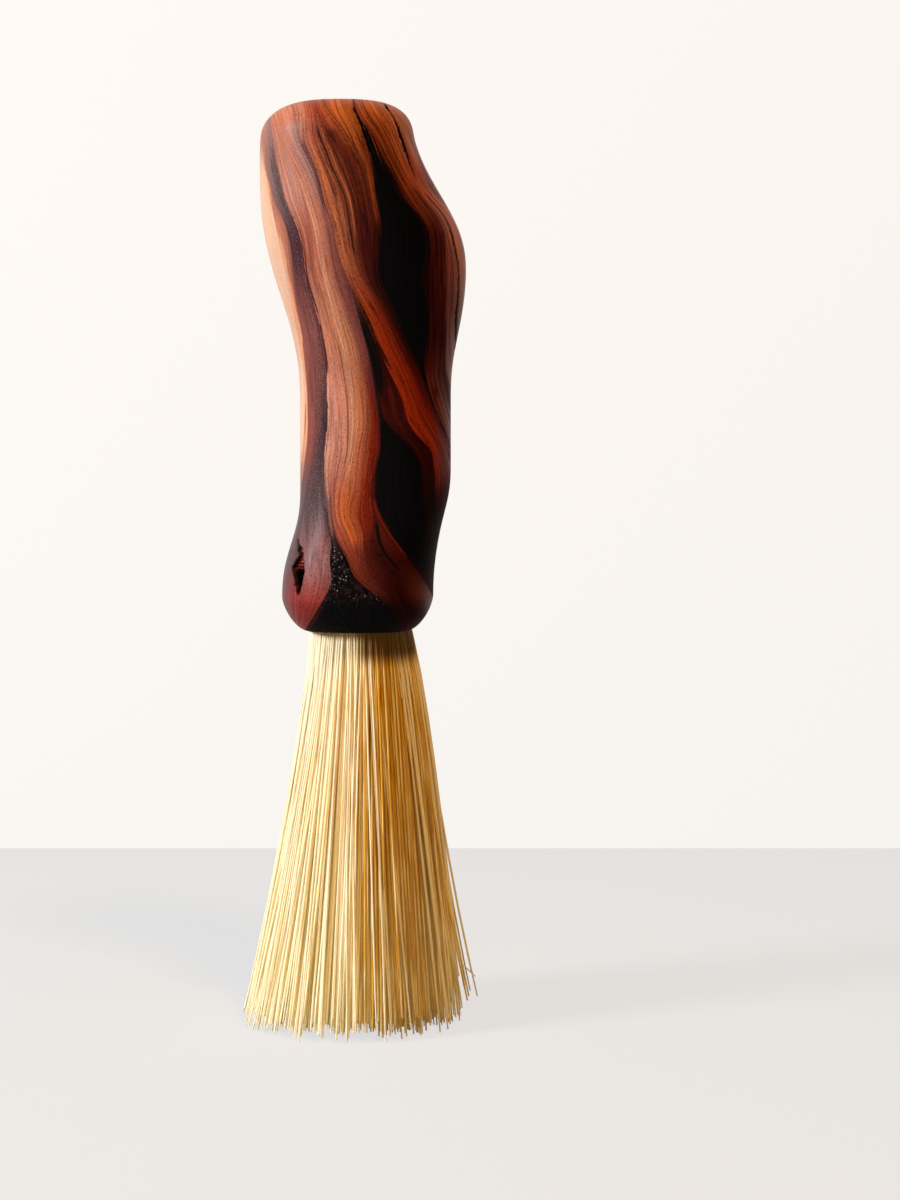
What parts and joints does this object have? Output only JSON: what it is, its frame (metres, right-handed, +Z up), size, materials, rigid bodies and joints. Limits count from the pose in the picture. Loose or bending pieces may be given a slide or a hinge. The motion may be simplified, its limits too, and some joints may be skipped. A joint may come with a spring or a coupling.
{
  "type": "crumb brush",
  "caption": "Hand-held crumb brush: a swollen, S-curved burl wood handle with a round tuft of stiff, splayed plant fibre glued into a socket in its foot.",
  "frame": {"origin": "middle of the tuft's base, on the surface that the tips stand on", "axes": "+Z up the length of the handle, -Y towards the pictured side, +X to its right"},
  "size_m": [0.0565, 0.0565, 0.2246],
  "materials": {
    "burl_wood": "satin oil and wax over red-brown burl with black bark inclusions",
    "plant_fibre": "dry stiff straw-coloured fibre",
    "binding_wire": "bright drawn wire",
    "glue": "hardened amber glue"
  },
  "bodies": {
    "root": {"handle": "burl_wood", "tuft_slice_1": "plant_fibre", "tuft_slice_2": "plant_fibre", "tuft_slice_3": "plant_fibre", "tuft_slice_4": "plant_fibre", "tuft_slice_5": "plant_fibre", "tuft_slice_6": "plant_fibre", "binding_wire": "binding_wire", "glue_bed": "glue"}
  },
  "joints": []
}
